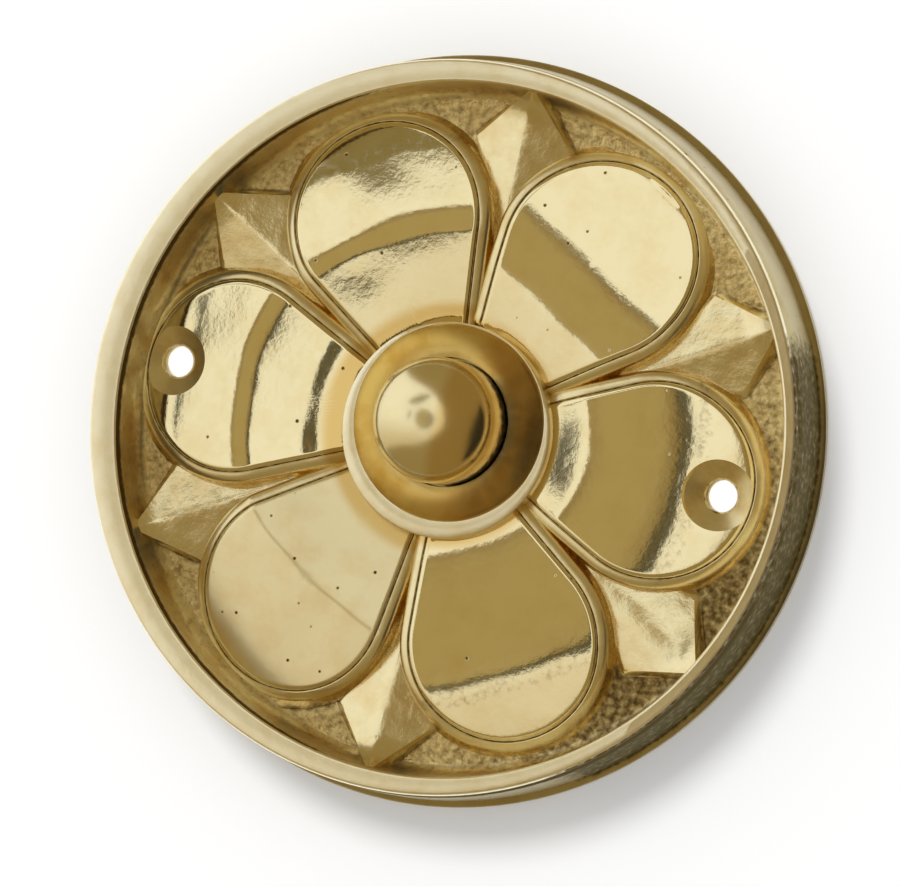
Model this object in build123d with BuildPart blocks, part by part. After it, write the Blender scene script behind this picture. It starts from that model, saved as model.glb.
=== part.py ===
from build123d import *
from math import cos, radians, sin, tan
import os

# Cast brass bell push: a round plate with a six-petal rose and a sprung button in the middle.
# Millimetres. The back of the plate lies on Y = 0, the face looks along -Y and +Z is up.
# X runs through the two fixing holes. The origin is midway between them, on the back of the plate.
# A height is a distance in front of the back of the plate, towards -Y.

# Outer wall and rim of the plate. The turned blank sits a little off the middle of the holes
blank_shift = (0.5, 0.0)
base_radius = 37.5
foot_height = 0.9
wall_foot_radius = 36.85
wall_foot_height = 1.5
rim_radius = 36.25
rim_height = 9.2
rim_edge_round = 0.6

# Sunk field inside the rim, further off the middle, so the rim is wider on the left
field_shift = (1.5, 0.0)
rim_inner_radius = 34.2
rim_inner_chamfer = 0.3
cove_radius = 34.0
cove_height = 4.4
ground_radius = 33.0
ground_height = 3.4

# Petals of the rose: a teardrop outline under a ring-shaped crown. Each one stands a little further
# out or in, listed from the right-hand petal and going round anticlockwise
ornament_shift = (0.4, 0.0)
petal_offsets = (0.1, 0.5, -0.35, 0.4, 0.4, 0.0)
petal_count = len(petal_offsets)
petal_pitch = 360 / petal_count
petal_half_angle = 25.5
petal_centre_radius = 22.2
petal_tip_radius = 31.6
crown_inner = (8.0, 4.1)
crown_crest = (20.5, 5.8)
crown_outer = (33.2, 3.75)
petal_edge_chamfer = 0.5
petal_bottom = 2.3

# Bead round each petal, with a narrow groove inside it
groove_width = 0.3
bead_width = 0.8
bead_inner = (9.5, 3.7)
bead_crest = (20.5, 5.05)
bead_outer = (33.2, 3.9)

# Sepals: a ridged kite between each two petals, whose tip rises to the top of the rim
sepal_shift = (1.2, 0.0)
sepal_start_radius = 16.5
sepal_wide_radius = 29.0
sepal_wide_half = 5.0
sepal_tip_radius = 34.6
sepal_start_height = 3.9
sepal_wide_height = 5.2
sepal_tip_height = 8.6
sepal_start_base_half = 1.3
sepal_wide_base_half = 7.6
sepal_tip_base_half = 14.5

# Collar, with a dish that stands a little to the right of the button's hole
collar_shift = (0.75, -0.2)
collar_radius = 10.75
collar_height = 6.0
collar_chamfer = 0.2
dish_shift = (0.9, 0.6)
dish_radius = 9.8
dish_middle = (8.9, 4.9)
dish_height = 4.5

# Axis of the button, its hole and the contacts
core_shift = (0.15, 0.55)
button_hole_radius = 6.45

# Hollow back
cavity_radius = 33.4
cavity_top_radius = 31.6
cavity_height = 2.0
core_well_radius = 9.4
core_well_height = 3.3

# Two countersunk fixing holes
fixing_spacing = 58.0
fixing_hole_radius = 1.6
countersink_radius = 3.5
countersink_height = 4.4
countersink_mouth = 6.2
countersink_angle = 120

# Contact base, held to two pillars of the casting by screws from behind
base_front = 1.7
base_back = -2.2
contact_base_radius = 16.5
base_edge_chamfer = 0.4
pillar_radius = 3.0
pillar_circle_radius = 13.0
pillar_angles = (60, 240)
tapped_hole_radius = 1.3
tapped_hole_top = 4.0
base_screw_radius = 1.25
base_screw_tip = 3.8
base_screw_clearance = 0.15
base_screw_head_radius = 2.4
base_screw_slot = (0.7, 0.6)

# Button
button_radius = 6.25
shoulder_height = 8.2
shoulder_round = 2.6
button_height = 12.0
flange_radius = 7.3
flange_top = 3.25
flange_bottom = 2.45
pip_radius = 1.6
pip_bottom = 2.2

# Contacts, along X from the button's axis
contact_well_radius = 8.4
contact_well_floor = -0.6
post_offset = 11.8
slot_end = 14.6
leaf_slot_width = 7.0
leaf_slot_floor = 0.0
leaf_width = 6.0
leaf_thickness = 0.3
leaf_end = -14.2
leaf_bend = -9.1
leaf_crest = -1.5
leaf_tip = 3.0
leaf_top_height = 1.85
strip_width = 5.0
strip_thickness = 0.4
strip_start = -2.5
strip_end = 14.2
post_radius = 2.0
post_head_radius = 2.6
post_head_height = 0.35
post_bore_radius = 1.25
post_hole_radius = post_radius + 0.02
rivet_radius = 1.0
rivet_head_radius = 1.6
rivet_head_top = 0.3
rivet_end = -1.5

# Terminal screws and washers, behind the base
washer_radius = 2.9
washer_bore_radius = 1.3
washer_thickness = 0.5
terminal_screw_radius = 1.2
terminal_head_radius = 2.6
terminal_head_height = 1.4
terminal_slot = (0.7, 0.7)
terminal_screw_tip_gap = 0.3


def front_plane(height=0.0, shift=(0.0, 0.0)):
    """Plane at a height in front of the plate's back, seen from the front."""
    return Plane(origin=(shift[0], -height, shift[1]), x_dir=(1, 0, 0), z_dir=(0, -1, 0))


def turning_plane(shift=(0.0, 0.0)):
    """Half-section plane of a turned form: local x is the radius and local y the height."""
    return Plane(origin=(shift[0], 0, shift[1]), x_dir=(1, 0, 0), z_dir=(0, 0, -1))


def turning_axis(shift=(0.0, 0.0)):
    """Axis of a turned form, square to the wall."""
    return Axis((shift[0], 0, shift[1]), (0, -1, 0))


def section_plane(angle, radius):
    """Plane across a sepal: local x runs round the rose and local y is the height."""
    along = (cos(radians(angle)), sin(radians(angle)))
    origin = (sepal_shift[0] + radius * along[0], 0, sepal_shift[1] + radius * along[1])
    return Plane(origin=origin, x_dir=(-along[1], 0, along[0]), z_dir=(along[0], 0, along[1]))


def petal_location(number):
    """Place of one petal's outline, turned to its own direction and moved out by its own offset."""
    angle = petal_pitch * number
    out = petal_offsets[number]
    return Location((out * cos(radians(angle)), out * sin(radians(angle)), 0), (0, 0, angle))


def core_point(offset):
    """Point on the row of contacts, along X from the button's axis."""
    return (core_shift[0] + offset, core_shift[1])


def pillar_point(angle):
    """Centre of a pillar on its circle about the button's axis."""
    return (
        core_shift[0] + pillar_circle_radius * cos(radians(angle)),
        core_shift[1] + pillar_circle_radius * sin(radians(angle)),
    )


# Outline of one petal, along local +X, and of the bead round it
tangent_radius = petal_centre_radius * cos(radians(petal_half_angle))
tangent_x = tangent_radius * cos(radians(petal_half_angle))
tangent_y = tangent_radius * sin(radians(petal_half_angle))

with BuildSketch() as petal_outline:
    with BuildLine():
        ThreePointArc((tangent_x, -tangent_y), (petal_tip_radius, 0), (tangent_x, tangent_y))
        Polyline((tangent_x, tangent_y), (0, 0), (tangent_x, -tangent_y))
    make_face()

with BuildSketch() as bead_outline:
    offset(petal_outline.sketch, amount=groove_width + bead_width, mode=Mode.ADD)
    offset(petal_outline.sketch, amount=groove_width, mode=Mode.SUBTRACT)

with BuildSketch() as sepal_outline:
    with BuildLine():
        Polyline(
            (sepal_start_radius, 0),
            (sepal_wide_radius, sepal_wide_half),
            (sepal_tip_radius, 0),
            (sepal_wide_radius, -sepal_wide_half),
            close=True,
        )
    make_face()


# Six petals: the crown is turned about the ornament's axis and cut to the outlines
with BuildPart() as petals:
    with BuildSketch(turning_plane(ornament_shift)):
        with BuildLine():
            ThreePointArc(crown_inner, crown_crest, crown_outer)
            Polyline(
                crown_outer,
                (crown_outer[0], petal_bottom),
                (crown_inner[0], petal_bottom),
                crown_inner,
            )
        make_face()
    revolve(axis=turning_axis(ornament_shift))
    with BuildSketch(front_plane(0, ornament_shift)):
        with Locations([petal_location(number) for number in range(petal_count)]):
            add(petal_outline.sketch)
    extrude(amount=rim_height, mode=Mode.INTERSECT)
    chamfer(petals.faces().filter_by(GeomType.REVOLUTION).edges(), petal_edge_chamfer)

# The beads follow the same crown, lower down
with BuildPart() as beads:
    with BuildSketch(turning_plane(ornament_shift)):
        with BuildLine():
            Polyline(
                bead_inner,
                bead_crest,
                bead_outer,
                (bead_outer[0], cavity_height),
                (bead_inner[0], cavity_height),
                close=True,
            )
        make_face()
    revolve(axis=turning_axis(ornament_shift))
    with BuildSketch(front_plane(0, ornament_shift)):
        with Locations([petal_location(number) for number in range(petal_count)]):
            add(bead_outline.sketch)
    extrude(amount=rim_height, mode=Mode.INTERSECT)

# Six sepals: roof-shaped sections that grow towards the rim, cut to the kite outline
with BuildPart() as sepals:
    for number in range(petal_count):
        sepal_angle = petal_pitch * (number + 0.5)
        for radius, half, height in (
            (sepal_start_radius, sepal_start_base_half, sepal_start_height),
            (sepal_wide_radius, sepal_wide_base_half, sepal_wide_height),
            (sepal_tip_radius, sepal_tip_base_half, sepal_tip_height),
        ):
            with BuildSketch(section_plane(sepal_angle, radius)):
                with BuildLine():
                    Polyline((-half, cavity_height), (half, cavity_height), (0, height), close=True)
                make_face()
        loft(ruled=True)
    with BuildSketch(front_plane(0, sepal_shift)):
        with PolarLocations(0, petal_count, start_angle=petal_pitch / 2):
            add(sepal_outline.sketch)
    extrude(amount=rim_height, mode=Mode.INTERSECT)


# Round collar in the middle of the rose
with BuildPart() as collar:
    with BuildSketch(front_plane(cavity_height, collar_shift)):
        Circle(collar_radius)
    extrude(amount=collar_height - cavity_height)
    chamfer(collar.edges().sort_by(Axis.Y)[0], collar_chamfer)


# The casting: turned blank, sunk field, ornament, collar, hollow back, pillars and holes
with BuildPart() as face_plate:
    with BuildSketch(turning_plane(blank_shift)):
        with BuildLine():
            Polyline(
                (0, 0),
                (base_radius, 0),
                (base_radius, foot_height),
                (wall_foot_radius, wall_foot_height),
                (rim_radius, rim_height),
                (0, rim_height),
                close=True,
            )
        make_face()
    revolve(axis=turning_axis(blank_shift))

    with BuildSketch(turning_plane(field_shift)):
        with BuildLine():
            Polyline(
                (0, ground_height),
                (ground_radius, ground_height),
                (cove_radius, cove_height),
                (rim_inner_radius, rim_height),
                (rim_inner_radius, rim_height + 1),
                (0, rim_height + 1),
                close=True,
            )
        make_face()
    revolve(axis=turning_axis(field_shift), mode=Mode.SUBTRACT)

    top_edges = face_plate.edges().filter_by(GeomType.CIRCLE).group_by(Axis.Y)[0]
    fillet(top_edges.sort_by(SortBy.RADIUS)[-1], rim_edge_round)
    top_edges = face_plate.edges().filter_by(GeomType.CIRCLE).group_by(Axis.Y)[0]
    chamfer(top_edges.sort_by(SortBy.RADIUS)[0], rim_inner_chamfer)

    add(collar.part)
    add(sepals.part)
    add(beads.part)
    add(petals.part)

    with BuildSketch(turning_plane(dish_shift)):
        with BuildLine():
            ThreePointArc((dish_radius, collar_height), dish_middle, (button_hole_radius, dish_height))
            Polyline(
                (button_hole_radius, dish_height),
                (0, dish_height),
                (0, collar_height + 1),
                (dish_radius, collar_height + 1),
                (dish_radius, collar_height),
            )
        make_face()
    revolve(axis=turning_axis(dish_shift), mode=Mode.SUBTRACT)

    with BuildSketch(turning_plane(blank_shift)):
        with BuildLine():
            Polyline(
                (0, 0),
                (cavity_radius, 0),
                (cavity_top_radius, cavity_height),
                (0, cavity_height),
                close=True,
            )
        make_face()
    revolve(axis=turning_axis(blank_shift), mode=Mode.SUBTRACT)
    with BuildSketch(front_plane(0, core_shift)):
        Circle(core_well_radius)
    extrude(amount=core_well_height, mode=Mode.SUBTRACT)
    with BuildSketch(front_plane(0, core_shift)):
        Circle(button_hole_radius)
    extrude(amount=rim_height, mode=Mode.SUBTRACT)

    with BuildSketch(front_plane(base_front)):
        with Locations([pillar_point(angle) for angle in pillar_angles]):
            Circle(pillar_radius)
    extrude(amount=cavity_height - base_front)

    with BuildSketch(front_plane(0)):
        with GridLocations(fixing_spacing, 0, 2, 1):
            Circle(fixing_hole_radius)
    extrude(amount=rim_height, mode=Mode.SUBTRACT)
    countersink_slope = tan(radians(90 - countersink_angle / 2))
    for side in (-1, 1):
        with BuildSketch(turning_plane((side * fixing_spacing / 2, 0))):
            with BuildLine():
                Polyline(
                    (0, countersink_height - countersink_radius * countersink_slope),
                    (countersink_radius, countersink_height),
                    (countersink_radius, countersink_mouth),
                    (0, countersink_mouth),
                    close=True,
                )
            make_face()
        revolve(axis=turning_axis((side * fixing_spacing / 2, 0)), mode=Mode.SUBTRACT)
    with BuildSketch(front_plane(0)):
        with Locations([pillar_point(angle) for angle in pillar_angles]):
            Circle(tapped_hole_radius)
    extrude(amount=tapped_hole_top, mode=Mode.SUBTRACT)


# Oval dome of two arcs: a small one from the shoulder, then a large one centred on the axis
shoulder_centre = button_radius - shoulder_round
dome_rise = button_height - shoulder_height
dome_round = (shoulder_centre**2 + dome_rise**2 - shoulder_round**2) / (2 * (dome_rise - shoulder_round))
dome_share = shoulder_round / (dome_round - shoulder_round)
dome_join = (
    shoulder_centre * (1 + dome_share),
    shoulder_height + (dome_round - dome_rise) * dome_share,
)
dome_join_tangent = (dome_rise - dome_round, shoulder_centre)

# The button: domed head, plain shank, retaining flange and the pip that presses the leaf
with BuildPart() as push_button:
    with BuildSketch(turning_plane(core_shift)):
        with BuildLine():
            TangentArc((button_radius, shoulder_height), dome_join, tangent=(0, 1))
            TangentArc(dome_join, (0, button_height), tangent=dome_join_tangent)
            Polyline(
                (0, button_height),
                (0, pip_bottom),
                (pip_radius, pip_bottom),
                (pip_radius, flange_bottom),
                (flange_radius, flange_bottom),
                (flange_radius, flange_top),
                (button_radius, flange_top),
                (button_radius, shoulder_height),
            )
        make_face()
    revolve(axis=turning_axis(core_shift))


# Contact base: a moulded disc with a round well, a slot for each contact and four screw holes
with BuildPart() as contact_base:
    with BuildSketch(front_plane(base_back, core_shift)):
        Circle(contact_base_radius)
    extrude(amount=base_front - base_back)
    chamfer(contact_base.edges().filter_by(GeomType.CIRCLE), base_edge_chamfer)
    with BuildSketch(front_plane(contact_well_floor, core_shift)):
        Circle(contact_well_radius)
    extrude(amount=base_front - contact_well_floor, mode=Mode.SUBTRACT)
    for side, floor in ((-1, leaf_slot_floor), (1, contact_well_floor)):
        with BuildSketch(front_plane(floor)):
            with Locations(core_point(side * slot_end / 2)):
                Rectangle(slot_end, leaf_slot_width)
        extrude(amount=base_front - floor, mode=Mode.SUBTRACT)
    with BuildSketch(front_plane(base_back)):
        with Locations(core_point(-post_offset), core_point(post_offset)):
            Circle(post_hole_radius)
    extrude(amount=base_front - base_back, mode=Mode.SUBTRACT)
    with BuildSketch(front_plane(rivet_end)):
        with Locations(core_point(0)):
            Circle(rivet_radius)
    extrude(amount=contact_well_floor - rivet_end, mode=Mode.SUBTRACT)
    for angle in pillar_angles:
        head_radius = base_screw_head_radius + base_screw_clearance
        hole_radius = base_screw_radius + base_screw_clearance
        with BuildSketch(turning_plane(pillar_point(angle))):
            with BuildLine():
                Polyline(
                    (0, base_back),
                    (head_radius, base_back),
                    (hole_radius, base_back + head_radius - hole_radius),
                    (hole_radius, base_front),
                    (0, base_front),
                    close=True,
                )
            make_face()
        revolve(axis=turning_axis(pillar_point(angle)), mode=Mode.SUBTRACT)


# Moving contact: a leaf clamped at one end, rising to a flat under the button
with BuildPart() as moving_contact:
    with BuildSketch(turning_plane(core_shift)):
        with BuildLine():
            Polyline(
                (leaf_end, leaf_slot_floor),
                (leaf_bend, leaf_slot_floor),
                (leaf_crest, leaf_top_height),
                (leaf_tip, leaf_top_height),
                (leaf_tip, leaf_top_height + leaf_thickness),
                (leaf_crest, leaf_top_height + leaf_thickness),
                (leaf_bend, leaf_slot_floor + leaf_thickness),
                (leaf_end, leaf_slot_floor + leaf_thickness),
                close=True,
            )
        make_face()
    extrude(amount=leaf_width / 2, both=True)
    with BuildSketch(front_plane(leaf_slot_floor)):
        with Locations(core_point(-post_offset)):
            Circle(post_hole_radius)
    extrude(amount=leaf_thickness, mode=Mode.SUBTRACT)

# Fixed contact: a flat strip on the floor of the well
with BuildPart() as fixed_contact:
    with BuildSketch(front_plane(contact_well_floor)):
        with Locations(core_point((strip_start + strip_end) / 2)):
            RectangleRounded(strip_end - strip_start, strip_width, 1.0)
        with Locations(core_point(post_offset)):
            Circle(post_hole_radius, mode=Mode.SUBTRACT)
        with Locations(core_point(0)):
            Circle(rivet_radius, mode=Mode.SUBTRACT)
    extrude(amount=strip_thickness)

# Rivet whose head the leaf meets
strip_top = contact_well_floor + strip_thickness
with BuildPart() as contact_rivet:
    with BuildSketch(front_plane(rivet_end)):
        with Locations(core_point(0)):
            Circle(rivet_radius)
    extrude(amount=strip_top - rivet_end)
    with BuildSketch(front_plane(strip_top)):
        with Locations(core_point(0)):
            Circle(rivet_head_radius)
    extrude(amount=rivet_head_top - strip_top)


def terminal_post(offset_x, seat):
    """Tapped post: a shank through the base and a head that clamps a contact on its seat."""
    with BuildPart() as post:
        with BuildSketch(front_plane(base_back)):
            with Locations(core_point(offset_x)):
                Circle(post_radius)
        extrude(amount=seat - base_back)
        with BuildSketch(front_plane(seat)):
            with Locations(core_point(offset_x)):
                Circle(post_head_radius)
        extrude(amount=post_head_height)
        with BuildSketch(front_plane(base_back)):
            with Locations(core_point(offset_x)):
                Circle(post_bore_radius)
        extrude(amount=seat - base_back, mode=Mode.SUBTRACT)
    return post.part


def terminal_washer(offset_x):
    """Plain washer against the back of the base."""
    with BuildPart() as washer:
        with BuildSketch(front_plane(base_back - washer_thickness)):
            with Locations(core_point(offset_x)):
                Circle(washer_radius)
                Circle(washer_bore_radius, mode=Mode.SUBTRACT)
        extrude(amount=washer_thickness)
    return washer.part


def terminal_screw(offset_x, seat):
    """Slotted cheese-head screw, driven from behind into its post."""
    head_top = base_back - washer_thickness
    head_bottom = head_top - terminal_head_height
    with BuildPart() as screw:
        with BuildSketch(front_plane(head_bottom)):
            with Locations(core_point(offset_x)):
                Circle(terminal_head_radius)
        extrude(amount=terminal_head_height)
        with BuildSketch(front_plane(head_top)):
            with Locations(core_point(offset_x)):
                Circle(terminal_screw_radius)
        extrude(amount=seat - terminal_screw_tip_gap - head_top)
        with BuildSketch(front_plane(head_bottom)):
            with Locations(core_point(offset_x)):
                Rectangle(terminal_slot[0], 2 * terminal_head_radius)
        extrude(amount=terminal_slot[1], mode=Mode.SUBTRACT)
    return screw.part


def base_screw(angle):
    """Slotted countersunk screw, driven from behind into a pillar of the casting."""
    with BuildPart() as screw:
        with BuildSketch(turning_plane(pillar_point(angle))):
            with BuildLine():
                Polyline(
                    (0, base_back),
                    (base_screw_head_radius, base_back),
                    (base_screw_radius, base_back + base_screw_head_radius - base_screw_radius),
                    (base_screw_radius, base_screw_tip),
                    (0, base_screw_tip),
                    close=True,
                )
            make_face()
        revolve(axis=turning_axis(pillar_point(angle)))
        with BuildSketch(front_plane(base_back)):
            with Locations(pillar_point(angle)):
                Rectangle(base_screw_slot[0], 2 * base_screw_head_radius)
        extrude(amount=base_screw_slot[1], mode=Mode.SUBTRACT)
    return screw.part


moving_seat = leaf_slot_floor + leaf_thickness
pieces = {
    "face_plate": face_plate.part,
    "push_button": push_button.part,
    "contact_base": contact_base.part,
    "moving_contact": moving_contact.part,
    "fixed_contact": fixed_contact.part,
    "contact_rivet": contact_rivet.part,
    "terminal_post_moving": terminal_post(-post_offset, moving_seat),
    "terminal_post_fixed": terminal_post(post_offset, strip_top),
    "terminal_washer_moving": terminal_washer(-post_offset),
    "terminal_washer_fixed": terminal_washer(post_offset),
    "terminal_screw_moving": terminal_screw(-post_offset, moving_seat),
    "terminal_screw_fixed": terminal_screw(post_offset, strip_top),
    "base_screw_upper": base_screw(pillar_angles[0]),
    "base_screw_lower": base_screw(pillar_angles[1]),
}

os.makedirs("parts", exist_ok=True)
for name, piece in pieces.items():
    piece.label = name
    export_step(piece, f"parts/{name}.step")
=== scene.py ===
from collections import namedtuple
from math import asin, atan2, cos, degrees, pi, radians, sin, sqrt, tan

import bmesh
import bpy
from bpy.props import FloatProperty, FloatVectorProperty, IntProperty, PointerProperty
from mathutils import Matrix, Vector, noise
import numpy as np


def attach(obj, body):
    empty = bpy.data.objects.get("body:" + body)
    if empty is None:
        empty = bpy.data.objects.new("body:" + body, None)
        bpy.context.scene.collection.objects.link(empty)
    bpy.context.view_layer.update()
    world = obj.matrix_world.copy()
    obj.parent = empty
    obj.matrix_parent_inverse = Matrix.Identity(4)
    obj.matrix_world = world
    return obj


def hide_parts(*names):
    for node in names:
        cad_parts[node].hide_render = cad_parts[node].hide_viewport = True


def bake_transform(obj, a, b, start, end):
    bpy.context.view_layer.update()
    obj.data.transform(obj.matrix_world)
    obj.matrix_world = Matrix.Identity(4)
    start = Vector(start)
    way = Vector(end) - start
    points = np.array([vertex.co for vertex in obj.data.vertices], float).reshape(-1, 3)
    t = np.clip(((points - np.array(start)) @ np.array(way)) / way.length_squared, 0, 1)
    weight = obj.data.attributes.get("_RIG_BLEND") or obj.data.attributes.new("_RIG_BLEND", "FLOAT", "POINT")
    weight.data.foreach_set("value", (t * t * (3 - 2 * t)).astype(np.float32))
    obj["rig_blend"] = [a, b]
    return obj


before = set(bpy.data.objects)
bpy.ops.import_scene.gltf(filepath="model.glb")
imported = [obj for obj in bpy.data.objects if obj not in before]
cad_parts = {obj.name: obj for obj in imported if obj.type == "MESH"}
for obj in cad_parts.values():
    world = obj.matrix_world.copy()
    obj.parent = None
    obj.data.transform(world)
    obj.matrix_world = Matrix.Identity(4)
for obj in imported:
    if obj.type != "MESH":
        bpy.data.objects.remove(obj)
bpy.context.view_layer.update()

bl_info = {
    "name": "Cast brass bell push",
    "version": (1, 0, 0),
    "blender": (4, 5, 0),
    "location": "3D View > Sidebar > Bell Push",
    "description": "Builds the looks of a round cast brass bell push around its packed model",
    "category": "Add Mesh",
}

# Shapes are worked out in millimetres on the bench: x to the right, y up the wall, z the height in
# front of the wall. Each finished mesh is then hung on the wall, in metres.
MM = 0.001

# Centres on the bench, in millimetres from the middle of the two fixing holes
BLANK_CENTRE = (0.5, 0.0)
RIM_CENTRE = (0.65, 0.0)
FIELD_CENTRE = (1.5, 0.0)
ROSE_CENTRE = (0.4, 0.0)
SEPAL_CENTRE = (1.2, 0.0)
COLLAR_CENTRE = (0.75, -0.2)
DISH_CENTRE = (0.9, 0.6)
CORE_CENTRE = (0.15, 0.55)

# Petals, in millimetres from the middle of the rose
PETAL_COUNT = 6
PETAL_HALF_ANGLE = radians(25.5)
PETAL_CENTRE_RADIUS = 22.2
PETAL_END = 9.3
PETAL_FOOT = 2.6
PETAL_EDGE_ROUND = 0.45
PETAL_EDGE_DROP = 0.16
PETAL_STEP = 0.3
PETAL_EDGE_STEPS = (0.7, 0.45, 0.38, 0.3, 0.22, 0.14, 0.07, 0.0)
PETAL_SATIN = 4
PETAL_SEGMENTS = 240

# Waves in the petals: how far they shift the crown's profile, and their length
WAVE_SHIFT = 0.45
WAVE_LENGTH = 6

# Warmer, less polished ring round the collar, which also paints the brown reflection there: its radius, how
# much wider it is at the left, its soft border
WARM_REACH = 12.7
WARM_LEAN = 1.1
WARM_FADE = 1.2

# Speckled dark line across some petals, a painted dark reflection line: its shift outward, its soft borders
# and its darkness
DARK_REFLECTION_LINE_SHIFT = 0.3
DARK_REFLECTION_LINE_FADE = (0.2, 1.6)
DARK_REFLECTION_LINE_DARKNESS = 0.36

# Each petal was dressed by hand, anticlockwise from the right-hand one: its offset from the middle, its
# growth, its slope across in degrees, the height of its crest, how straight its crest runs across, the
# radius of its painted dark reflection line or 0, and the slope of its crown in degrees at some radii
Petal = namedtuple("Petal", "out grown lean crest straight speck crown")
PETALS = (
    Petal(0.1, 0.0, 0.0, 5.75, 0.0, 26.3, (
        (10.5, -14), (11.9, -12.5), (12.3, -11.5), (13.5, -11), (13.8, -10), (14.5, -9.4), (14.9, -5.2),
        (20.1, 0), (25.3, 5.2), (25.6, 6.2), (26.5, 6.7), (26.8, 9.5), (29, 10.5), (32, 14))),
    Petal(0.5, 0.15, 0.0, 5.75, 0.9, 0.0, (
        (10.5, -13), (12, -10.5), (15.4, -9), (16.1, -5.2), (19.0, 0), (22.2, 5.2), (22.8, 9),
        (31.3, 11), (32, 14))),
    Petal(-0.35, 0.0, 0.0, 5.9, 0.4, 28.1, (
        (10.5, -11), (12.9, -9.5), (18.9, -8.6), (19.4, -5), (20.3, 0), (21.4, 5), (22.1, 8),
        (27.6, 9), (28.1, 11.2), (31, 12.3), (32, 14))),
    Petal(0.4, 0.0, 0.0, 5.85, 0.2, 0.0, (
        (10.5, -10.5), (12.9, -10.5), (13.3, -6.4), (14.5, -6.4), (14.9, -10.2), (20.0, -8.6),
        (20.5, -5), (21.4, 0), (22.2, 5), (22.6, 7.2), (27.6, 8), (28.2, 9.7), (29.9, 10.9), (30.3, 13),
        (32, 14))),
    Petal(0.4, 0.1, 1.5, 5.8, 0.5, 0.0, (
        (10.5, -11), (12, -10), (20.1, -9), (20.5, 8.5), (31.3, 12), (32, 14))),
    Petal(0.0, 0.0, 0.0, 5.75, 0.6, 26.2, (
        (10.5, -10.5), (11.6, -9.5), (12, -6.4), (12.6, -5), (17, -3.5), (21.5, 0), (24.6, 3.9),
        (25.4, 5.6), (26.0, 6.4), (26.4, 9), (28.5, 10), (32, 13.5))),
)

# Band round each petal, behind a fine line: (offset, height under the petal's edge, tarnish)
BAND_WIDTH = 1.9
BAND_LOWEST = 3.75
BAND_ROWS = (
    (0.05, 0.1, 0.75), (0.11, 0.12, 0.9), (0.17, 0.05, 0.4), (0.25, 0.01, 0.0), (0.45, 0.05, 0.0),
    (0.65, 0.12, 0.0), (0.85, 0.22, 0.0), (1.0, 0.34, 0.05), (1.12, 0.5, 0.15),
)

# Sepals, by distance from their own middle
SEPAL_START = 16.5
SEPAL_WIDE = 29.0
SEPAL_WIDE_HALF = 5.0
SEPAL_RISE = 31.0
SEPAL_TIP = 34.6
SEPAL_START_HEIGHT = 3.9
SEPAL_TIP_HEIGHT = 5.7
SEPAL_SLOPE = 0.3
SEPAL_SKIRT = 0.8
SEPAL_FACET = 0.8
SEPAL_CLIMBS = (2.2, 2.2, 0.6, 0.6, 2.2, 1.0)
SEPAL_CLIMB_SHIFT = 0.29
SEPAL_FOOT_RISE = 0.5
SEPAL_RIDGE_ROUND = 0.1
SEPAL_WORN = 5
SEPAL_WORN_ROUND = 2.2

# Leaf, along x from the button's axis: (place, height) of its underside, and where it bends
LEAF_LINE = ((-14.2, 0.0), (-9.1, 0.0), (-1.5, 1.85), (3.0, 1.85))
LEAF_BEND = (-9.0, -1.6)
LEAF_HOLE = (-11.8, 2.02)
LEAF_WIDTH = 6.0
LEAF_THICKNESS = 0.3

GROUND_HEIGHT = 3.4
CAVITY_HEIGHT = 2.0
HOLE_RADIUS = 6.45
STAGE_OPENING = 0.0372
DISH_FOOT = 4.5
RIM_FALL = radians(9)
RIM_EDGE_ROUND = 0.45
RIM_EDGE_DROP = 0.2

# Hidden foot of the collar. It lies below the top of the button's flange, 3.25, so the two overlap.
COLLAR_FOOT = 2.4

# The tool that cuts the fixing holes: its two ends, its end in the ground, and the cone's slope
CUTTER_FOOT = 1.0
CUTTER_TOP = 6.2
CUTTER_GROUND_TOP = 4.0
COUNTERSINK_SLOPE = radians(30)
HOLE_SEGMENTS = 96

# Button: rounding of its shoulder, and (radius, height) of its pip, flange and the foot of its shank
SHOULDER_ROUND = 2.6
BUTTON_PIP_AND_FLANGE = (
    (0.05, 2.2), (1.5, 2.2), (1.6, 2.3), (1.6, 2.45), (7.2, 2.45), (7.3, 2.55), (7.3, 3.15), (7.2, 3.25),
)
BUTTON_SHANK_HEIGHTS = (3.25, 3.4, 5.5, 7.0)
BUTTON_SEGMENTS = 144

# Stage: where the camera aims, the pale wall, and the lamp, in metres and watts
AIM = (-0.000242, 0.0, -0.001456)
WALL_RADIUS = 1.5
WALL_GAP = 0.0001
KEY_PLACE = (-0.42, -1.1, 0.55)
KEY_SIZE = 0.45
KEY_POWER = 7.5
FILL_LIGHT = 0.72


def length(label, description, default):
    """A size that the sidebar shows as a length."""
    return FloatProperty(name=label, description=description, default=default, unit="LENGTH", precision=5)


def colour(label, description, default):
    """A colour that the sidebar shows as a swatch."""
    return FloatVectorProperty(
        name=label, description=description, default=default, subtype="COLOR", size=3, min=0, max=1
    )


class CastingSizes(bpy.types.PropertyGroup):
    """Sizes of the cast plate."""

    base_radius: length("Foot radius", "Radius of the foot of the outer wall", 0.0375)
    rim_radius: length("Rim radius", "Outer radius of the rim's flat top", 0.03625)
    rim_height: length("Rim height", "Height of the rim in front of the wall", 0.0092)
    rim_inner_radius: length("Field radius", "Radius of the sunk field inside the rim", 0.0342)
    collar_radius: length("Collar radius", "Outer radius of the raised collar", 0.01075)
    collar_height: length("Collar height", "Height of the collar in front of the wall", 0.006)
    dish_radius: length("Dish radius", "Radius of the dish inside the collar", 0.0098)
    fixing_spacing: length("Fixing spacing", "Distance between the two fixing holes", 0.058)
    fixing_hole_radius: length("Fixing hole radius", "Radius of each fixing hole", 0.0016)
    countersink_radius: length("Countersink radius", "Radius of the mouth of each countersink", 0.0035)
    countersink_height: length("Countersink height", "Height where the cone meets its mouth", 0.0044)
    segments: IntProperty(name="Segments", description="Steps round the plate", default=240, min=48)


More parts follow.
